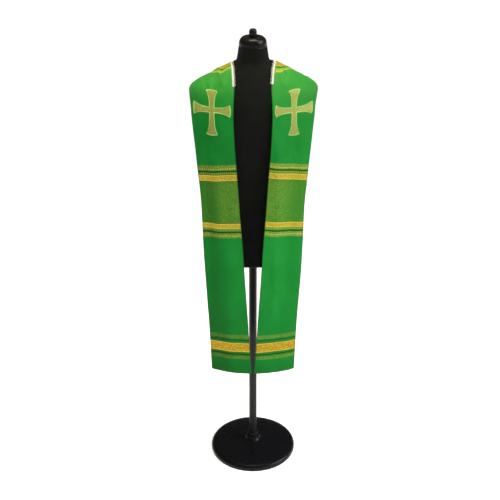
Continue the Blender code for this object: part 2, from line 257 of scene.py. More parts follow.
def feed(shader, socket, value):
    """One of a shader's sockets, joined to a value."""
    shader.id_data.links.new(value, shader.inputs[socket])


def object_place(shader):
    """Places on the piece, in metres."""
    return put("TexCoord", tree=shader.id_data)["Object"]


def stretched(place, scale):
    """Places drawn out along each axis by one over its scale."""
    return put("Mapping", {"Vector": place, "Scale": scale})["Vector"]


def noise(place, scale, detail, dimensions="3D"):
    """Soft random patches, about 1 / scale metres across."""
    return put("TexNoise", {"Vector": place, "Scale": scale, "Detail": detail},
               noise_dimensions=dimensions)["Fac"]


def spread(value, low, high, to_low=0, to_high=1):
    """A value carried from one range to another, and held at its ends."""
    return put("MapRange", {"Value": value, "From Min": low, "From Max": high,
                            "To Min": to_low, "To Max": to_high})["Result"]


def mixed(share, first, second):
    """A share of the second colour in the first."""
    first, second = [(*shade, 1) if isinstance(shade, tuple) else shade for shade in (first, second)]
    return put("Mix", {0: share, 6: first, 7: second}, data_type="RGBA")[2]


def raise_surface(shader, height, depth):
    """Relief: a height of 0 to 1 times a depth in metres."""
    feed(shader, "Normal", put("Bump", {"Height": height, "Distance": depth})["Normal"])


def lacquer(name, colour, worn, roughness, dull, shine):
    """Black lacquer: faintly rippled, hazed in patches and browner where it has rubbed thin."""
    material, shader = new_finish(name, colour, roughness, shine, Coat_Weight=0.05, Coat_Roughness=0.12)
    place = object_place(shader)
    feed(shader, "Roughness", spread(noise(place, 38, 5), 0.35, 0.75, roughness, dull))
    rubbed = spread(noise(place, 210, 4), 0.62, 0.8)
    feed(shader, "Base Color", mixed(rubbed, colour, worn))
    raise_surface(shader, noise(place, 95, 1), 0.00012)
    return material


def enamelled_tube():
    """Black enamel on drawn steel, with fine lines along the tube."""
    material, shader = new_finish("black_enamelled_tube", (0.01, 0.01, 0.0105), 0.34, 0.22)
    place = object_place(shader)
    feed(shader, "Roughness", spread(noise(place, 25, 4), 0.3, 0.75, 0.28, 0.44))
    raise_surface(shader, noise(stretched(place, (1, 1, 0.02)), 900, 3), 0.00004)
    return material


# Profiles of (radius, z) from the bottom up, in millimetres
BASE_PROFILE = (
    (160, 0), (162.8, 1.2), (164, 4), (164, 11.5), (160.5, 19.5), (150, 25), (100, 32),
    (32, 38), (23, 48), (19.5, 69), (18.5, 71.2), (17, 71.7),
)
POLE_PROFILE = ((14.5, 72), (14.5, 849.7))
CAP_PROFILE = (
    (45.5, 1598.2), (46.6, 1598.6), (46.9, 1599.3), (46.6, 1600), (46.1, 1600.6),
    (45.7, 1604), (45.1, 1611), (43.7, 1617), (41.4, 1621.6), (38.1, 1625.3), (34.5, 1628.4),
    (30.5, 1630.4), (27, 1630.7), (22.5, 1629.6), (17.5, 1627.5), (12.8, 1626.4),
)
FINIAL_PROFILE = (
    (10.8, 1626.4), (12.4, 1627.2), (12.8, 1629), (12.7, 1634), (13, 1639), (12.8, 1643.5),
    (12, 1648), (10.5, 1651.4), (7.4, 1654), (2.8, 1655.3),
)

cap_lacquer = lacquer(
    "black_lacquered_wood", (0.0075, 0.0062, 0.0054), (0.02, 0.014, 0.01), 0.2, 0.3, 0.19)
base_lacquer = lacquer(
    "black_cast_base", (0.006, 0.0063, 0.0074), (0.014, 0.014, 0.015), 0.24, 0.36, 0.14)
add_turned("stand_base", "form_base", BASE_PROFILE, base_lacquer, 110)
add_turned("stand_pole", "form_pole", POLE_PROFILE, enamelled_tube(), 60, 64)
add_turned("neck_cap", "form_cap", CAP_PROFILE, cap_lacquer, 90)
add_turned("neck_finial", "form_finial", FINIAL_PROFILE, cap_lacquer, 60, 96)


# ------------
# Body of the form: a padded shell under a cover of matte black jersey, knitted in fine
# ribs, seamed down the back and both sides and drawn smooth over the shoulder ends.

def smooth_table(columns, rows, unit=1):
    """A table, in parts of a unit, as a function of a column's name and of places down its first
    column."""
    values = np.array(sorted(rows)).T / unit
    names = columns.split()

    def read(name, at):
        """The named column's smooth value at each place."""
        return smooth_between(at, values[0], values[names.index(name)])
    return read


# Level sections in millimetres, first of the shoulders, where the stole lies
SECTION_COLUMNS = "z half_width front back"
SHOULDER_SECTIONS = (
    (1598, 46.4, 46.4, 46.4), (1585, 48.4, 48, 48), (1572, 50.2, 49.6, 50),
    (1556, 54, 52.5, 54), (1546, 60, 57, 60.5), (1541, 66, 61, 66), (1532, 86, 68, 74),
    (1524, 105, 76, 80), (1505, 140, 92, 92), (1486, 175, 105, 100),
)
form = smooth_table(SECTION_COLUMNS, SHOULDER_SECTIONS + (
    (1468, 196, 114.5, 105.5), (1450, 203, 122, 109), (1430, 203.5, 128, 112),
    (1400, 198.5, 134, 115), (1360, 187, 139, 117.5), (1310, 176.5, 142, 118),
    (1250, 170, 140, 112), (1180, 160, 130, 102), (1100, 150, 120, 96), (1030, 152, 118, 100),
    (960, 165, 121, 110), (900, 173, 124, 116), (868, 174, 124, 116), (856, 169, 119, 111),
    (850, 158, 108, 100),
), 1000)
# How square its sections are, from 2 for an oval
squareness = smooth_table("z exponent", (
    (0.85, 2.2), (1.03, 2.2), (1.1, 2.25), (1.18, 2.3), (1.25, 2.3), (1.31, 2.25),
    (1.36, 2.15), (1.4, 2.05), (1.43, 2.02), (1.45, 2), (1.598, 2),
))
# Rows between one height and the next, closest over the shoulders
TORSO_ROWS = ((0.85, 0.868, 16), (0.868, 1.45, 130), (1.45, 1.556, 90), (1.556, 1.598, 24))
TORSO_COUNT = 160
TORSO_MAP_RADIUS = 0.145
KNIT_RIB = 0.0016
KNIT_ROW = 0.0012

# The cover's seams, down both sides and the centre back
COVER_SEAMS = (0, 0.5 * math.pi, math.pi)
SEAM_HALF_WIDTH = 0.0015
SEAM_DEPTH = 0.0007
SEAM_RADIUS = 0.15
SEAM_COLUMNS = np.linspace(-2.4, 2.4, 9)


def flat_place(shader):
    """Places in metres on the piece laid flat, whole and as two values, from its own map."""
    flat = put("UVMap", tree=shader.id_data, uv_map="flat")["UV"]
    parts = put("SeparateXYZ", {"Vector": flat})
    return flat, parts["X"], parts["Y"]


def work_out(operation, *values):
    """One step of arithmetic on values."""
    return put("Math", dict(enumerate(values)), operation=operation)[0]


def times(first, second):
    """The product of two values."""
    return work_out("MULTIPLY", first, second)


def plus(first, second):
    """The sum of two values."""
    return work_out("ADD", first, second)


def scaled(value, by, more):
    """A value times a second one, with a third one added."""
    return work_out("MULTIPLY_ADD", value, by, more)


def wave(value, pitch, shift=0):
    """A sine from 0 to 1 that repeats each pitch, moved on by a shift in turns."""
    turns = plus(work_out("DIVIDE", value, pitch), shift)
    return scaled(work_out("SINE", times(turns, math.tau)), 0.5, 0.5)


def body_points(z, turn):
    """The body's level sections: a circle drawn out to their half width, front and back, and squared a
    little by an exponent."""
    power = 2 / squareness("exponent", z)
    cosine, sine = np.cos(turn), np.sin(turn)
    depth = np.where(sine < 0, form("front", z), form("back", z))
    x = form("half_width", z) * np.sign(cosine) * np.abs(cosine) ** power
    y = depth * np.sign(sine) * np.abs(sine) ** power
    return grid_of(x, y, z)


def black_jersey():
    """Jersey: ribs and rows of small loops that lean to and fro, and a dusty nap."""
    material, shader = new_finish(
        "black_jersey", (0.0042, 0.0046, 0.0038), 0.88, 0.15, Sheen_Weight=0.02, Sheen_Roughness=0.45)
    flat, around, up = flat_place(shader)
    rib = wave(around, KNIT_RIB)
    loop = wave(up, KNIT_ROW, times(rib, 0.5))
    raise_surface(shader, times(work_out("POWER", rib, 0.6), loop), 0.00035)
    dust = spread(noise(object_place(shader), 14, 5), 0.35, 0.8)
    feed(shader, "Base Color", mixed(dust, (0.0036, 0.004, 0.0033), (0.0058, 0.0062, 0.0052)))
    return material


torso_z = np.unique(np.concatenate([np.linspace(*span) for span in TORSO_ROWS]))
beside_seam = SEAM_COLUMNS * SEAM_HALF_WIDTH / SEAM_RADIUS
torso_turn = np.concatenate([np.linspace(0, math.tau, TORSO_COUNT + 1),
                             np.add.outer(COVER_SEAMS, beside_seam).ravel() % math.tau])
torso_turn = np.unique(np.round(torso_turn, 6))
torso_z, torso_turn = np.meshgrid(torso_z, torso_turn, indexing="ij")
seam_groove = np.zeros_like(torso_turn)
for seam in COVER_SEAMS:
    off_seam = (torso_turn - seam + math.pi) % math.tau - math.pi
    seam_groove += np.exp(-(off_seam * SEAM_RADIUS / SEAM_HALF_WIDTH) ** 2)
torso_points = body_points(torso_z, torso_turn)
torso_points[..., :2] *= 1 - (seam_groove * SEAM_DEPTH / SEAM_RADIUS)[..., None]
add_round("form_cover", "form_torso", torso_points[:, :-1],
          grid_of(torso_turn * TORSO_MAP_RADIUS, torso_z), black_jersey())


# ------------
# Stole halves: two long panels of satiny green cloth, each cut in one with its half of the
# yoke, turned in at every edge and joined by a seam at the centre back. Gold, pale and
# glittering bands are woven in across the face, and the reverse is plain green.

HEM_Z = 0.447
LEVEL_Z = 1.4
SEAM_GAP = 0.0003

# Level sections that the cloth follows: the form's own, and below the shoulder its own
drape = smooth_table(SECTION_COLUMNS, SHOULDER_SECTIONS + (
    (1468, 200, 115, 106), (1450, 213, 123, 110), (1430, 222.5, 130, 114),
    (1400, 243, 138.5, 117), (1360, 257, 145, 120), (1320, 266, 150, 121),
    (1250, 275, 154.5, 121), (1100, 275, 157.5, 121), (900, 265, 159, 121),
    (440, 235, 160.5, 121),
), 1000)

# The two long edges of a hanging panel, in millimetres
panel = smooth_table("z neck_edge outer_edge", (
    (447, 3, 149), (560, 11.5, 152), (680, 18, 156.5), (800, 25.5, 163.5), (950, 34, 169),
    (1080, 43, 171.5), (1200, 50.5, 180), (1300, 57.5, 189), (1400, 62, 199.5),
), 1000)

# The same edges over the shoulder, on ribs that turn about a level line through the chest
yoke = smooth_table("rib neck_turn neck_edge outer_turn outer_edge", (
    (0, 0, 0.062, 0, 0.1995), (1, 22, 0.0605, 27, 0.203), (2, 41, 0.0585, 51, 0.205),
    (3, 64, 0.06, 74, 0.2055), (4, 90, 0.064, 98, 0.202), (5, 107, 0.057, 128, 0.187),
    (6, 119, 0.042, 154, 0.15), (7, 127.5, 0.022, 180, 0.082), (8, 133, 0, 202.5, 0),
))
LAST_RIB = 8

# Folds, creases and slow swells, each along a line on the front (side -1), the back (1) or
# both (0). Columns: side, then in millimetres x and z of each end, half width and height,
# which is below 0 for a trough.
FOLDS = (
    (-1, -80, 1528, -98, 1496, 10, 2.6), (-1, -113, 1520, -140, 1490, 13, 3),
    (-1, 77, 1536, 80, 1504, 8, 2.2), (-1, 100, 1526, 108, 1490, 11, 2.6),
    (-1, -158, 1330, -142, 760, 21, -5), (-1, 137, 1300, 120, 780, 20, -4.5),
    (-1, 82, 1310, 70, 700, 16, 2.8), (-1, -86, 900, -78, 470, 24, 3),
    (1, -118, 1500, -66, 1432, 13, 3), (1, 112, 1500, 70, 1436, 13, 2.6),
    (0, 80, 1535, 207, 1468, 30, 5.8), (0, 178, 1488, 207, 1466, 28, 2.4),
    (0, -170, 1491, -207, 1466, 28, 2.6), (0, -70, 1542, -110, 1518, 18, 1.2),
    (-1, -76, 1539, -101, 1522, 5.5, -2.6), (-1, -112, 1512, -129, 1486, 6.5, -1.6),
    (-1, -122, 1512, -140, 1490, 12, -1.4), (-1, -157, 1330, -154.5, 1215, 21, 3.2),
    (-1, -70, 1524, -73, 1474, 6.5, 1), (-1, -154, 1504, -181, 1462, 14, 0.5),
    (-1, -128, 1480, -102, 1440, 20, -0.9), (-1, 96.3, 1533, 107.5, 1513, 5, -3.2),
    (-1, 106.5, 1508, 98, 1498, 5.5, -2.4), (-1, 96, 1505, 76, 1468, 12, -1.4),
    (-1, 125, 1514, 148, 1462, 15, 1.4), (-1, 170, 1480, 180, 1440, 10, 1),
    (-1, -123, 1240, -115, 1000, 24, 2.8), (-1, -116, 930, -108, 640, 22, 1),
    (-1, -169, 1220, -156, 700, 7, 1.2), (-1, -98, 1300, -76, 1120, 30, -1.6),
    (-1, 160, 1160, 149, 760, 9, 1.4), (-1, 56, 880, 44, 560, 18, -1.4),
    (-1, 104, 960, 86, 540, 26, -3), (-1, -128, 620, -120, 460, 14, -1.2),
    (1, -90, 1516, -60, 1468, 6, -1.6), (1, -150, 1496, -112, 1440, 12, 1.4),
    (1, -42, 1480, -22, 1420, 11, 1.2), (1, 88, 1514, 52, 1462, 6, -1.7),
    (1, 152, 1492, 118, 1444, 12, 1.2), (1, 38, 1470, 26, 1400, 10, 1.1),
)
FOLD_END = 0.06
FOLD_END_SHARE = 0.35
FRONT_REACH = 0.012

# Faint ripples. Columns: waves in a metre along x, y and z, shift in turns, height.
RIPPLES = (
    (7, 4, 1.7, 0.1, 0.00034), (13, -6, 3.1, 0.55, 0.0002),
    (4, 9, 6.3, 0.3, 0.00026), (21, 11, 9.5, 0.8, 0.00008),
)

# Millimetres that each half's weft falls for each metre outward, by height, and is drawn up
weft = smooth_table("up left right left_rise right_rise right_bow", (
    (0, 3, 37, 0, 0, 2.1), (160, 5, 39, 0, 0, 2), (500, 96, 73, 5, 0, 0), (580, 106, 78, 6, 0.4, 0),
    (750, 148, 108, 6, 0, 0), (820, 140, 108, 5, 0, 0), (950, 120, 110, 0, 0, 0),
    (1300, 120, 110, 0, 0, 0),
), 1000)

# How far it is moved over the shoulder, by the place across from the middle
shoulder = smooth_table("across left right", (
    (-78, 6, -14), (-66, 8, -11), (-55, 6, -3), (-42, -6, 2), (-30, -16, -2), (-15, -25, -9),
    (5, -30, -17), (30, -33, -23), (80, -36, -27),
), 1000)
SHOULDER_FROM = 1.02
SHOULDER_TO = 1.095

CLOTH_TOP = 0.0032
CLOTH_HALF = 0.0008
TURNED_IN = 0.012
TURNED_EDGE = 0.0006
TURNED_THICKER = 0.0003
EDGE_STEPS = np.array([0, 0.00008, 0.0003, 0.0006, 0.001, 0.002, 0.0038])
USUAL_BREADTH = 0.145
YOKE_LENGTH = 0.3
CLOTH_COLUMNS = 46
FRONT_ROWS = 360
RAY_SPAN = (0.002, 0.26)
HALVINGS = 34
YOKE_ROWS = 132


def drape_value(points):
    """Below 1 inside the shape that the cloth is draped on, 1 on it, above 1 outside."""
    x, y, z = np.moveaxis(points, -1, 0)
    depth = np.where(y < 0, drape("front", z), drape("back", z))
    return (x / drape("half_width", z)) ** 2 + (y / depth) ** 2


def drape_normal(points, step=0.0005):
    """Outward normals, from the slope of drape_value along each axis."""
    slope = grid_of(*[drape_value(points + way) - drape_value(points - way) for way in np.eye(3) * step])
    return slope / np.linalg.norm(slope, axis=-1, keepdims=True)


def front_points(x, z):
    """Points on the draped front above and below each other, from where they show."""
    y = -drape("front", z) * np.sqrt(np.clip(1 - (x / drape("half_width", z)) ** 2, 0, 1))
    return grid_of(x, y, z)


def turned_points(x, turn):
    """Points over the shoulder, where rays from a level line at LEVEL_Z leave the shape, by halving."""
    def on_ray(length):
        """Places this far along each ray."""
        return grid_of(x, -np.cos(turn) * length, LEVEL_Z + np.sin(turn) * length)
    near, far = [np.full_like(x, length) for length in RAY_SPAN]
    for _ in range(HALVINGS):
        middle = (near + far) / 2
        inside = drape_value(on_ray(middle)) < 1
        near = np.where(inside, middle, near)
        far = np.where(inside, far, middle)
    return on_ray(far)


def panel_points(across, climb):
    """The wearer's left panel before it is lifted and folded. across runs from 0 at the neck edge to 1
    at the outer one, and climb from 0 at the hem to 1 at LEVEL_Z and on to 2 at the back seam."""
    def between(table, kind, at):
        """A value between the neck edge's and the outer edge's."""
        neck = table("neck_" + kind, at)
        return neck + across * (table("outer_" + kind, at) - neck)
    z = HEM_Z + np.clip(climb, 0, 1) * (LEVEL_Z - HEM_Z)
    hanging = front_points(between(panel, "edge", z), z)
    rib = np.clip(climb - 1, 0, 1) * LAST_RIB
    x = np.maximum(between(yoke, "edge", rib), SEAM_GAP / 2)
    worn = turned_points(x, np.radians(between(yoke, "turn", rib)))
    return np.where((climb <= 1)[..., None], hanging, worn)


def lifted(points, height):
    """Points moved out from the draped shape by a height, the folds and the ripples. A fold is a bell
    across its line that fades out past its ends, and a ripple is a sine."""
    folds = np.zeros(points.shape[:-1])
    for *waves, shift, top in RIPPLES:
        folds += top * np.sin(math.tau * (points @ np.array(waves) + shift))
    for side, *sizes in FOLDS:
        x0, z0, x1, z1, half_width, top = np.array(sizes) / 1000
        length = math.hypot(x1 - x0, z1 - z0)
        dx = (x1 - x0) / length
        dz = (z1 - z0) / length
        along = (points[..., 0] - x0) * dx + (points[..., 2] - z0) * dz
        away = (points[..., 0] - x0) * dz - (points[..., 2] - z0) * dx
        fade = min(FOLD_END_SHARE * length, FOLD_END)
        past = np.maximum(np.maximum(-along, along - length), 0) / fade
        faced = points[..., 1] * side > -FRONT_REACH
        folds += faced * top * np.exp(-(away / half_width) ** 2 - past ** 2 * 4)
    return points + drape_normal(points) * (height + folds)[..., None]


def lengths_along(points, axis):
    """How far each point of a grid is from the first one, along one way of the grid."""
    steps = np.linalg.norm(np.diff(points, axis=axis), axis=-1)
    return np.insert(np.cumsum(steps, axis=axis), 0, 0, axis=axis)


def thread_place(points, side):
    """Each point's place on the cloth laid flat: across from the panel's middle, and up from the hem
    along the threads. The weft leans down outward, less a rise and a bow with the square of the way
    from the middle, until the shoulder's own table takes over."""
    half = "left" if side > 0 else "right"
    across = lengths_along(points, 1)
    across = across - across[:, -1:] / 2
    up = lengths_along(points, 0)
    leaning = across * weft(half, up) - weft(half + "_rise", up)
    if side < 0:
        leaning -= weft("right_bow", up) * (1 - (across / across[:, -1:]) ** 2)
    share = np.clip((up - SHOULDER_FROM) / (SHOULDER_TO - SHOULDER_FROM), 0, 1)
    over_shoulder = share ** 2 * (3 - 2 * share)
    drawn = leaning * (1 - over_shoulder) + shoulder(half, across) * over_shoulder
    return grid_of(across, up + drawn)


# Woven bands, as metres up from the hem: where each starts and ends
GOLD_BANDS = ((0.0895, 0.1255), (0.5708, 0.589), (0.741, 0.7612), (1.139, 1.185))
PALE_BANDS = ((0.5365, 0.554), (0.7768, 0.7952), (1.108, 1.127), (1.198, 1.216))
FAINT_BANDS = ((0.059, 0.0725), (0.1447, 0.1593))
PALE_DOTS = ((0.543, 0.5465), (0.7805, 0.784), (1.1125, 1.1165), (1.203, 1.207))
STITCHED_LINES = ((0.5622, 0.5692), (0.764, 0.7702))
DARK_LINES = ((0.0768, 0.0818), (0.136, 0.1395), (0.5556, 0.5604), (0.7706, 0.776),
              (1.13, 1.1345), (1.189, 1.1935))
BROWN_LINES = ((0.0873, 0.0895), (0.1255, 0.128), (0.5692, 0.5708), (0.589, 0.5914),
               (0.7386, 0.741), (0.7612, 0.764))
GLITTER_BANDS = ((0.5914, 0.7386),)
PICK = 0.0009
FLOAT = 0.0017
GOLD_BORDER = 0.0024
DOT_PITCH = 0.008
STITCH_PITCH = 0.0066
NET_WIDTH = 0.01
NET_HEIGHT = 0.0076

# Yarns: the warp's greens, with greens for painted light and shade (a painted highlight over the
# shoulders, painted shade at the hem and the edges), then the weft's
GREEN = (0.011, 0.215, 0.029)
WARP_GREENS = (0.0055, 0.205, 0.0265), (0.008, 0.24, 0.0335)
SLUB_GREEN = (0.016, 0.3, 0.047)
SHOULDER_HIGHLIGHT_GREEN = (0.045, 0.255, 0.04)
HEM_SHADE_GREEN = (0.004, 0.1, 0.012)
EDGE_SHADE_GREEN = (0.004, 0.05, 0.006)
GOLDS = (0.395, 0.31, 0.025), (0.635, 0.56, 0.065)
ORANGE_NET = (0.43, 0.14, 0.01)
ORANGE_MOTTLE = (0.37, 0.155, 0.012)
BROWN_FLECK = (0.26, 0.19, 0.018)
BRIGHT_BORDER = (0.72, 0.64, 0.11)
PALES = (0.055, 0.21, 0.022), (0.38, 0.43, 0.06)
PALE_DOT = (0.54, 0.58, 0.13)
FAINT_GOLD = (0.26, 0.33, 0.04)
GLITTERS = (0.015, 0.19, 0.018), (0.36, 0.42, 0.06)
DARK_GREEN = (0.016, 0.064, 0.004)
BROWN_EDGE = (0.11, 0.125, 0.012)
STITCH_GOLD = (0.36, 0.4, 0.045)


def in_bands(up, bands):
    """1 inside any of the bands and 0 elsewhere."""
    total = 0
    for low, high in bands:
        total = plus(work_out("COMPARE", up, (low + high) / 2, (high - low) / 2), total)
    return total


def thread_cells(across, up, width, height, seed):
    """Random values from 0 to 1, one for each short float of a thread. Rows are moved on by half a
    float each, as in a weave."""
    row = work_out("FLOOR", work_out("DIVIDE", up, height))
    place = plus(work_out("DIVIDE", across, width), scaled(row, 0.5, seed))
    cell = put("CombineXYZ", {"X": work_out("FLOOR", place), "Y": row, "Z": seed})
    return put(
        "TexWhiteNoise", {"Vector": cell["Vector"]}, noise_dimensions="3D")["Value"]


def lozenges(across, up, width, height):
    """A net of small lozenges: 1 in their middles, falling to 0 on the lines between."""
    zigzags = [work_out("PINGPONG", work_out("DIVIDE", value, pitch), 0.5)
               for value, pitch in ((across, width), (up, height))]
    return times(work_out("ABSOLUTE", work_out("SUBTRACT", plus(*zigzags), 0.5)), 2)


def banded_cloth():
    """Satin-faced cloth: green warp with fine slubs, and bands where gold, pale and glittering weft
    floats over it. The edges and the hem are darkened as painted shade, and the shoulders lightened as a
    painted highlight."""
    material, shader = new_finish(
        "green_banded_cloth", GREEN, 0.5, 0.13, Sheen_Weight=0.05, Sheen_Roughness=0.35,
        Sheen_Tint=(0.4, 1, 0.15, 1), Specular_Tint=(1, 0.9, 0.2, 1))
    flat, across, up = flat_place(shader)
    picks = thread_cells(across, up, FLOAT, PICK, 3)
    flecks = thread_cells(across, up, FLOAT * 2.2, PICK * 2.6, 11)
    by_hem = in_bands(up, GOLD_BANDS[:1])
    in_gold = in_bands(up, GOLD_BANDS)
    in_glitter = in_bands(up, GLITTER_BANDS)

    slub = noise(stretched(flat, (1, 0.045, 1)), 900, 3, "2D")
    green = mixed(spread(noise(flat, 9, 3, "2D"), 0.3, 0.7), *WARP_GREENS)
    green = mixed(spread(slub, 0.45, 0.75, 0, 0.35), green, SLUB_GREEN)
    # Painted highlight: the green turns lighter and yellower over the shoulders, where the lamps from
    # above light the cloth most.
    green = mixed(spread(up, 0.95, 1.12), green, SHOULDER_HIGHLIGHT_GREEN)

    net = spread(lozenges(across, up, NET_WIDTH, NET_HEIGHT), 0.35, 0.7, 0.15, 1)
    orange = times(times(net, spread(flecks, 0.35, 0.55)), scaled(by_hem, 0.4, 0.6))
    mottle = spread(noise(flat, 190, 1, "2D"), 0.4, 0.62)
    inner_gold = in_bands(up, [(low + GOLD_BORDER, high - GOLD_BORDER) for low, high in GOLD_BANDS])
    gold = mixed(spread(picks, 0.1, 0.9), *GOLDS)
    gold = mixed(orange, gold, ORANGE_NET)
    gold = mixed(times(mottle, scaled(by_hem, 0.6, 0.28)), gold, ORANGE_MOTTLE)
    gold = mixed(spread(flecks, 0.88, 0.93, 0, 0.6), gold, BROWN_FLECK)
    gold = mixed(scaled(inner_gold, -0.7, 0.7), gold, BRIGHT_BORDER)

    dots = times(in_bands(up, PALE_DOTS), spread(wave(across, DOT_PITCH), 0.35, 0.75))
    pale = mixed(dots, mixed(spread(picks, 0.35, 0.85), *PALES), PALE_DOT)
    faint = mixed(spread(picks, 0.4, 0.8), green, FAINT_GOLD)

    uneven = noise(stretched(flat, (1, 0.25, 1)), 30, 2, "2D")
    share = plus(scaled(picks, 0.14, times(flecks, 0.28)), spread(uneven, 0.3, 0.7, -0.05, 0.03))
    # Painted light: the glittering weft's share falls from the inner edge towards the outer one, so the
    # glints show brighter where the panel turns towards the key light.
    glint = times(share, spread(across, -0.04, 0.045, 1.15, 0.45))

    colour = green
    for bands, yarn in ((FAINT_BANDS, faint), (PALE_BANDS, pale),
                        (GLITTER_BANDS, mixed(glint, *GLITTERS)), (GOLD_BANDS, gold),
                        (DARK_LINES, DARK_GREEN), (BROWN_LINES, BROWN_EDGE)):
        colour = mixed(in_bands(up, bands), colour, yarn)
    stitches = spread(wave(across, STITCH_PITCH, 0.25), 0.3, 0.75, 0.1, 0.85)
    colour = mixed(times(in_bands(up, STITCHED_LINES), stitches), colour, STITCH_GOLD)
    # Painted shade: the cloth is darkened over the last few centimetres above the hem.
    colour = mixed(spread(up, 0.03, 0.055, 0.22, 0), colour, HEM_SHADE_GREEN)
    # Painted shade: the cloth is darkened within a few millimetres of every edge, where it rounds away
    # from the light.
    from_edge = put("Attribute", tree=shader.id_data, attribute_name="from_edge")
    edge_shade = spread(from_edge["Fac"], 0.0008, 0.0036, 0.7, 0)
    feed(shader, "Base Color", mixed(edge_shade, colour, EDGE_SHADE_GREEN))

    glinting = times(in_glitter, glint)
    metal = scaled(glinting, 0.6, scaled(in_gold, 0.35, 0.03))
    metal = scaled(in_bands(up, GOLD_BANDS[:3]), 0.42, metal)
    feed(shader, "Metallic", metal)
    feed(shader, "Roughness", spread(metal, 0.03, 0.8, 0.5, 0.4))
    thread = scaled(picks, 0.35, wave(plus(across, up), 0.0011))
    rows = times(wave(up, PICK), glinting)
    raise_surface(shader, plus(plus(thread, times(in_gold, picks)), rows), 0.00012)
    return material


def reverse_cloth():
    """The reverse: plain green in a fine even weave, a little deeper than the face."""
    material, shader = new_finish(
        "green_cloth_reverse", (0.015, 0.22, 0.03), 0.55, 0.35, Sheen_Weight=0.1)
    flat, across, up = flat_place(shader)
    shade = spread(noise(flat, 12, 4, "2D"), 0.3, 0.7)
    feed(shader, "Base Color", mixed(shade, (0.013, 0.2, 0.026), (0.017, 0.24, 0.034)))
    raise_surface(shader, times(wave(across, 0.0007), wave(up, 0.0007)), 0.0001)
    return material


def stole_half(name, node, side, finishes):
    """One panel with its half of the yoke, as two skins that meet in a rounded edge: the gap between
    them opens on a quarter circle, and the cloth turned in along the edges makes the reverse stand out
    a little."""
    edge = EDGE_STEPS / USUAL_BREADTH
    across = np.concatenate(
        [edge, np.linspace(edge[-1], 1 - edge[-1], CLOTH_COLUMNS)[1:-1], 1 - edge[::-1]])
    hem, seam = EDGE_STEPS / (LEVEL_Z - HEM_Z), EDGE_STEPS / YOKE_LENGTH
    climb = np.concatenate([hem, np.linspace(hem[-1], 1, FRONT_ROWS)[1:],
                            np.linspace(1, 2 - seam[-1], YOKE_ROWS)[1:], 2 - seam[-2::-1]])
    climb, across = np.meshgrid(climb, across, indexing="ij")
    points = panel_points(across, climb)
    over, up = lengths_along(points, 1), lengths_along(points, 0)
    from_edge = np.minimum(np.minimum(over, over[:, -1:] - over), np.minimum(up, up[-1:] - up))
    swell = np.sqrt(1 - (1 - np.clip(from_edge / CLOTH_HALF, 0, 1)) ** 2)
    turned_in = 1 / (1 + np.exp((from_edge - TURNED_IN) / TURNED_EDGE))
    middle = CLOTH_TOP - CLOTH_HALF
    flat_map = thread_place(points, side)
    placed = points * (side, 1, 1)
    face = lifted(placed, middle + CLOTH_HALF * swell)
    reverse = lifted(placed, middle - (CLOTH_HALF + TURNED_THICKER * turned_in) * swell)
    inner = (slice(1, -1), slice(1, -1))
    face_numbers = numbered(face)
    reverse_numbers = face_numbers.copy()
    reverse_numbers[inner] = face_numbers.size + numbered(reverse[inner])
    points = np.concatenate([face.reshape(-1, 3), reverse[inner].reshape(-1, 3)])
    marks = np.concatenate([from_edge.ravel(), from_edge[inner].ravel()])
    if side > 0:
        face_numbers, reverse_numbers = face_numbers[:, ::-1], reverse_numbers[:, ::-1]
        flat_map = flat_map[:, ::-1]
    faces = np.concatenate([cell_corners(face_numbers)[:, ::-1], cell_corners(reverse_numbers)])
    face_map = cell_corners(flat_map)
    maps = np.concatenate([face_map[:, ::-1], face_map])
    return add_piece(name, node, points, faces, finishes, maps,
                     np.repeat([0, 1], len(face_map)), marks={"from_edge": marks})


cloth_finishes = [banded_cloth(), reverse_cloth()]
left_half = stole_half("stole_left", "stole_left_half", 1, cloth_finishes)
right_half = stole_half("stole_right", "stole_right_half", -1, cloth_finishes)


# ------------
# Neck lace: white cotton picot lace, sewn by hand over the neck edge. A woven tape carries
# corded edges and a net of threads, and a row of scallops reaches past the cloth.

LACE_FIRST_RIBS = {-1: 2.09, 1: 2.25}
LACE_ROWS = 330
LACE_COLUMNS = 24
LACE_REACH = (-0.0048, 0.0105)
TAPE_EDGES = np.array([0.0016, 0.0062])
TAPE_HALF_THICK = 0.00025
TAPE_STATIONS = 420
OFF_CLOTH = 0.00005
CORD = 0.00055
NET_THREAD = 0.00036
NET_PITCH = 0.0065
NET_SWING = 0.0015
NET_HIGH = 0.00078
NET_OVER = 0.00016
NET_STATIONS = 760
SCALLOPS = 38
SCALLOP_RADIUS = 0.0053
SCALLOP_THREAD = 0.00044
SCALLOP_STATIONS = 23
SPOKE_TURNS = np.radians([-30, 30])
SPOKE_REACH = np.linspace(0.12, 0.97, 5)
SPOKE_THREAD = 0.00022
LOOP_TURNS = np.radians([-50, -17, 17, 50])
LOOP_BEND = np.radians(np.linspace(-112, 112, 11))
LOOP_RADIUS = 0.0006
LOOP_THREAD = 0.00022
LOOP_HIGH = 0.00045
PICOTS = 114
PICOT_HALF = 0.0015
PICOT_REACH = 0.0013
PICOT_THREAD = 0.0003
PICOT_STATIONS = 11


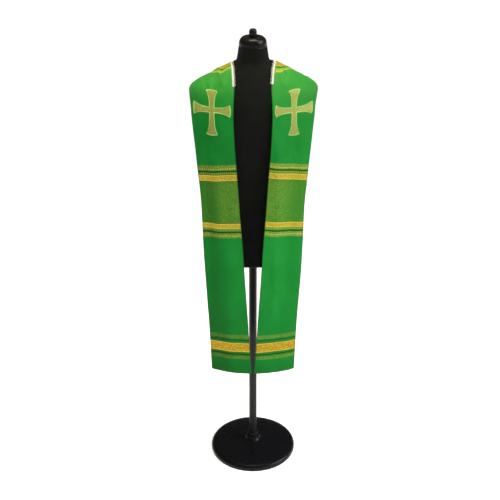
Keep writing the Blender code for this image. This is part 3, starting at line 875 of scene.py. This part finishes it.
def lace_ground():
    """The draped cloth under the lace, as rows of points and normals from the right half's end, round
    the back, to the left half's, with each row's place along it. A row runs from past the neck edge on
    to the cloth, at even steps in metres."""
    halves = []
    places = []
    for side, first_rib in LACE_FIRST_RIBS.items():
        climb = np.linspace(2, 1 + first_rib / LAST_RIB, LACE_ROWS)[:, None]
        climb, share = np.broadcast_arrays(climb, np.linspace(0, 1, LACE_COLUMNS))
        breadth = lengths_along(panel_points(share, climb), 1)[:, -1:]
        points = panel_points(np.linspace(*LACE_REACH, LACE_COLUMNS) / breadth, climb)
        edge = panel_points(np.zeros((LACE_ROWS, 1)), climb[:, :1])
        along = lengths_along(edge, 0)[:, 0] + SEAM_GAP / 2
        placed = points * (side, 1, 1)
        halves.append(np.stack([lifted(placed, 0), drape_normal(placed)])[:, ::side])
        places.append(side * along[::side])
    return np.concatenate(halves, axis=1), np.concatenate(places)


ground, ground_along = lace_ground()


def on_lace(flat):
    """Places on the lace laid flat, as (along, out, up), carried on to the cloth: a mix of the four
    nearest ground points, moved out along their normals."""
    along, out, up = np.moveaxis(flat, -1, 0)
    row = np.interp(along, ground_along, np.arange(len(ground_along)))
    spot = (out - LACE_REACH[0]) / (LACE_REACH[1] - LACE_REACH[0]) * (LACE_COLUMNS - 1)
    i = np.clip(row.astype(int), 0, len(ground_along) - 2)
    j = np.clip(spot.astype(int), 0, LACE_COLUMNS - 2)
    a, b = (row - i)[..., None], (spot - j)[..., None]
    place, normal = ((1 - a) * ((1 - b) * ground[:, i, j] + b * ground[:, i, j + 1])
                     + a * ((1 - b) * ground[:, i + 1, j] + b * ground[:, i + 1, j + 1]))
    return place + normal * (CLOTH_TOP + up)[..., None]


def threads(along, out, up, half_width, half_height, count, finish=1):
    """Threads of the lace laid flat: an oval carried along each line, square to it and closed at both
    ends. Gives points, quads, map places, end caps and finish number."""
    lines = grid_of(along, out, up)
    lines = lines.reshape(-1, *lines.shape[-2:])
    step = np.gradient(lines, axis=1)
    length = np.hypot(step[..., 0], step[..., 1])
    aside = grid_of(-step[..., 1], step[..., 0], 0)
    aside = (aside / length[..., None])[:, :, None]
    turn = np.linspace(0, math.tau, count + 1)[:, None]
    ring = aside * half_width * np.cos(turn) + np.array([0, 0, 1]) * half_height * np.sin(turn)
    flat = (lines[:, :, None] + ring)[:, :, :-1]
    numbers = numbered(flat)
    joined = np.concatenate([numbers, numbers[:, :, :1]], axis=2)
    run = np.cumsum(np.linalg.norm(step, axis=-1), axis=1)[:, :, None]
    places = grid_of(run, turn[:, 0] * half_width)
    quads, places = [
        np.moveaxis(cell_corners(np.moveaxis(grid, 0, 2)), 2, 0) for grid in (joined, places)]
    caps = [*numbers[:, 0, ::-1], *numbers[:, -1]]
    return (on_lace(flat).reshape(-1, 3), quads.reshape(-1, 4), places.reshape(-1, 4, 2), caps, finish)


def join_parts(parts):
    """Parts of one piece put together as one mesh, each with its finish number."""
    firsts = np.cumsum([0] + [len(part[0]) for part in parts])
    points = np.concatenate([part[0] for part in parts])
    faces = np.concatenate([part[1] + first for part, first in zip(parts, firsts)])
    places = np.concatenate([part[2] for part in parts])
    slots = np.concatenate([np.full(len(part[1]), part[4]) for part in parts])
    caps = [cap + first for part, first in zip(parts, firsts) for cap in part[3]]
    return points, faces, places, slots, caps


def evenly(count):
    """The middles of a number of even shares of the lace's length."""
    first, last = ground_along[[0, -1]]
    return first + (np.arange(count)[:, None] + 0.5) * (last - first) / count


def lace_parts():
    """Every thread of the lace. A scallop is a half circle hung from the tape's inner cord, with spokes
    across it and a row of loops round it."""
    first, last = ground_along[[0, -1]]
    whole = np.linspace(first, last, TAPE_STATIONS)[None]
    fine = np.linspace(first, last, NET_STATIONS)[None]
    inner, outer = TAPE_EDGES
    middle = TAPE_EDGES.mean()
    swing = np.array([[1], [-1]])
    phase = math.tau * fine / NET_PITCH
    arc = np.linspace(-math.pi / 2, math.pi / 2, SCALLOP_STATIONS)
    bend = np.linspace(-math.pi / 2, math.pi / 2, PICOT_STATIONS)
    scallops = evenly(SCALLOPS)
    centres = scallops[:, :, None]
    sine, cosine = np.sin(LOOP_TURNS)[:, None], np.cos(LOOP_TURNS)[:, None]
    forth = LOOP_RADIUS * np.sin(LOOP_BEND)
    away = SCALLOP_RADIUS + LOOP_RADIUS * (np.cos(LOOP_BEND) + 0.25)
    return [
        threads(whole, middle, TAPE_HALF_THICK + OFF_CLOTH, np.ptp(TAPE_EDGES) / 2,
                TAPE_HALF_THICK, 16, finish=0),
        threads(whole, TAPE_EDGES[:, None], CORD + OFF_CLOTH, CORD, CORD, 8),
        threads(fine, middle + swing * NET_SWING * np.sin(phase),
                NET_HIGH + swing * NET_OVER * np.cos(phase), NET_THREAD, NET_THREAD, 6),
        threads(scallops + SCALLOP_RADIUS * np.sin(arc), inner - SCALLOP_RADIUS * np.cos(arc),
                SCALLOP_THREAD + OFF_CLOTH, SCALLOP_THREAD, SCALLOP_THREAD, 6),
        threads(centres + SCALLOP_RADIUS * np.outer(np.sin(SPOKE_TURNS), SPOKE_REACH),
                inner - SCALLOP_RADIUS * np.outer(np.cos(SPOKE_TURNS), SPOKE_REACH),
                SCALLOP_THREAD + OFF_CLOTH, SPOKE_THREAD, SPOKE_THREAD, 5),
        threads(centres + forth * cosine + away * sine, inner + forth * sine - away * cosine,
                LOOP_HIGH, LOOP_THREAD, LOOP_THREAD, 5),
        threads(evenly(PICOTS) + PICOT_HALF * np.sin(bend),
                outer + CORD / 2 + PICOT_REACH * np.cos(bend), PICOT_THREAD + OFF_CLOTH,
                PICOT_THREAD, PICOT_THREAD, 5),
    ]


def white_cotton(name, tape):
    """White cotton: a tape in plain weave, or a thread with the twist of its plies."""
    material, shader = new_finish(name, (0.72, 0.72, 0.7), 0.8, 0.25, Sheen_Weight=0.1)
    flat, along, across = flat_place(shader)
    if tape:
        relief = times(wave(along, 0.0009), wave(across, 0.0007))
    else:
        relief = wave(scaled(across, 0.5, along), 0.001)
    raise_surface(shader, relief, 0.00012)
    tone = spread(noise(object_place(shader), 60, 4), 0.3, 0.7)
    feed(shader, "Base Color", mixed(tone, (0.68, 0.68, 0.65), (0.76, 0.76, 0.74)))
    return material


lace_points, lace_faces, lace_places, lace_slots, lace_caps = join_parts(lace_parts())
lace = add_piece("neck_picot_lace", "neck_lace", lace_points, lace_faces,
                 [white_cotton("white_cotton_tape", True), white_cotton("white_cotton_thread", False)],
                 lace_places, lace_slots, lace_caps)


# ------------
# Crosses: one on each breast, cut from pale gold glittering cloth on a thin backing, laid
# on the panel and held all round by a raised border of light green-gold satin stitch.

CROSS_CENTRE = (0.131, 1.418)
ARM_WAYS = ((0, 0.058), (90, 0.055), (180, 0.058), (270, 0.076))
ARM_SHAPE = ((0, 0.0085), (0.45, 0.0095), (0.75, 0.013), (1, 0.019))
ARM_END_BOW = 0.003
ARM_START = ARM_SHAPE[0][1]
BORDER = 0.0033
BORDER_RISE = 0.0018
STITCH_DIP = 0.15
STITCH_NOTCH = 0.05
FILL_LOW = 0.00012
FILL_RISE = 0.0009
FILL_PUFF = 0.0004
STITCH = 0.0008
STATIONS_A_STITCH = 4
CORNER_SOFTNESS = 0.0017
ARM_CELLS = 44
SWING_CELLS = 14
SIDE_STATIONS = 160
END_STATIONS = 100
BORDER_POINTS = 9

arm_shape = smooth_table("share half_breadth", ARM_SHAPE)


def cross_arms(share, swing, inset):
    """Places on the four arms, as complex numbers, with the outline moved in by an inset. share runs
    along an arm, swing across it, and its end bows out."""
    start = ARM_START - inset
    breadth = arm_shape("half_breadth", share) - inset
    bow = ARM_END_BOW * share ** 4 * (1 - swing ** 2)
    return [(start + share * (length - inset - start) + bow + 1j * swing * breadth)
            * np.exp(1j * math.radians(degrees)) for degrees, length in ARM_WAYS]


def cross_outline(inset):
    """The outline moved in by an inset, anticlockwise."""
    up = np.linspace(0, 1, SIDE_STATIONS)
    over = np.linspace(-1, 1, END_STATIONS)[1:-1]
    share = np.concatenate([up, np.ones_like(over), up[::-1][:-1]])
    swing = np.concatenate([-np.ones_like(up), over, np.ones(len(up) - 1)])
    return np.concatenate(cross_arms(share, swing, inset))


def border_lines():
    """The border's outer and inner lines at even stations, with corners rounded by a bell average along
    them, and how far along the outer one each station is."""
    outer, inner = cross_outline(0), cross_outline(BORDER)
    run = np.concatenate([[0], np.cumsum(np.abs(np.diff(np.append(outer, outer[0]))))])
    count = round(run[-1] / STITCH) * STATIONS_A_STITCH
    at = np.arange(count) * run[-1] / count
    waves = np.fft.fftfreq(count, run[-1] / count)
    bell = np.exp(-2 * (math.pi * waves * CORNER_SOFTNESS) ** 2)
    lines = []
    for line in (outer, inner):
        closed = np.append(line, line[0])
        even = np.interp(at, run, closed.real) + 1j * np.interp(at, run, closed.imag)
        lines.append(np.fft.ifft(np.fft.fft(even) * bell))
    return lines[0], lines[1], at


def on_breast(flat, height, side):
    """Flat places of a cross, as complex numbers, laid on a panel at a height off it."""
    x = (CROSS_CENTRE[0] + flat.real) * side
    base = front_points(x, CROSS_CENTRE[1] + flat.imag)
    return lifted(base, CLOTH_TOP + height)


def border_part(side):
    """The satin stitch: half an oval across the border, dipped between stitches."""
    outer, inner, at = border_lines()
    over = np.sin(np.linspace(-math.pi / 2, math.pi / 2, BORDER_POINTS))
    stitch = np.arange(len(at)) % STATIONS_A_STITCH / STATIONS_A_STITCH
    dip = np.cos(math.pi * stitch)[:, None] ** 2
    share = (1 + over * (1 - STITCH_NOTCH * dip)) / 2
    flat = outer[:, None] * (1 - share) + inner[:, None] * share
    height = OFF_CLOTH + BORDER_RISE * np.sqrt(1 - over ** 2) * (1 - STITCH_DIP * dip)
    points = on_breast(flat, height, side)
    joined = np.pad(numbered(points), ((0, 1), (0, 1)), mode="wrap")
    along = np.append(at, at[-1] + at[1])[:, None]
    places = grid_of(along, np.append(over, -1) * BORDER / 2)
    ways = slice(None, None, -side)
    return (points.reshape(-1, 3), cell_corners(joined)[:, ways], cell_corners(places)[:, ways], [], 1)


def fill_part(side):
    """The gold cloth: a square middle and four arms as grids that share their edges, as two skins
    joined by a wall under the border."""
    inset = BORDER / 2
    middle = ARM_START - inset
    swing = np.linspace(-1, 1, SWING_CELLS + 1)
    u, v = np.meshgrid(swing, swing, indexing="ij")
    grids = [grid_of(u * middle, v * middle, 1 - (u * v) ** 2)]
    share, swing = np.meshgrid(np.linspace(0, 1, ARM_CELLS + 1), swing, indexing="ij")
    puff = (1 - swing ** 2) * (1 - share ** 8)
    grids += [grid_of(arm.real, arm.imag, puff) for arm in cross_arms(share, swing, inset)]
    spots = np.concatenate([grid.reshape(-1, 3) for grid in grids])
    firsts = np.cumsum([0] + [grid.size // 3 for grid in grids])
    cells = np.concatenate([cell_corners(first + numbered(grid)) for grid, first in zip(grids, firsts)])
    spots, same = np.unique(np.round(spots, 7), axis=0, return_inverse=True)
    low = same.reshape(-1)[cells]
    count = len(spots)
    start, stop = low.ravel(), np.roll(low, -1, axis=1).ravel()
    alone = ~np.isin(start * count + stop, stop * count + start)
    start, stop = start[alone], stop[alone]
    walls = grid_of(start, start + count, stop + count, stop)
    quads = np.concatenate([low, low[:, ::-1] + count, walls])
    flat = spots[:, 0] + 1j * spots[:, 1]
    heights = np.concatenate([np.full(count, FILL_LOW), FILL_RISE + FILL_PUFF * spots[:, 2]])
    points = on_breast(np.tile(flat, 2), heights, side)
    places = np.tile(spots[:, :2], (2, 1))[quads]
    return points, quads[:, ::side], places[:, ::side], [], 0


def glittering_cloth():
    """Pale gold cloth: a plain weave of gold and green threads, flecked with brown."""
    material, shader = new_finish("pale_gold_cloth", (0.3, 0.35, 0.075), 0.48, 0.3, Metallic=0.15)
    flat, across, up = flat_place(shader)
    picks = thread_cells(across, up, 0.0013, 0.0007, 5)
    flecks = thread_cells(across, up, 0.0024, 0.0013, 17)
    colour = mixed(spread(picks, 0.1, 0.9), (0.21, 0.27, 0.048), (0.4, 0.44, 0.098))
    colour = mixed(spread(flecks, 0.74, 0.86, 0, 0.7), colour, (0.3, 0.23, 0.06))
    feed(shader, "Base Color", colour)
    weave = times(wave(across, 0.0009), wave(up, 0.0009))
    raise_surface(shader, plus(weave, picks), 0.00012)
    return material


def satin_stitch():
    """Rayon in satin stitch: a silky light thread, laid straight across."""
    material, shader = new_finish("satin_stitch_thread", (0.36, 0.6, 0.17), 0.42, 0.4, Sheen_Weight=0.1)
    flat, along, across = flat_place(shader)
    number = work_out("FLOOR", work_out("DIVIDE", along, STITCH))
    shade = put("TexWhiteNoise", {"W": number}, noise_dimensions="1D")
    feed(shader, "Base Color", mixed(shade["Value"], (0.31, 0.54, 0.14), (0.42, 0.66, 0.2)))
    raise_surface(shader, wave(along, 0.00027), 0.00006)
    return material


cross_finishes = [glittering_cloth(), satin_stitch()]
for side, node in ((1, "cross_left"), (-1, "cross_right")):
    points, faces, places, slots, caps = join_parts([fill_part(side), border_part(side)])
    add_piece("raised_" + node, node, points, faces,
                              cross_finishes, places, slots, caps)
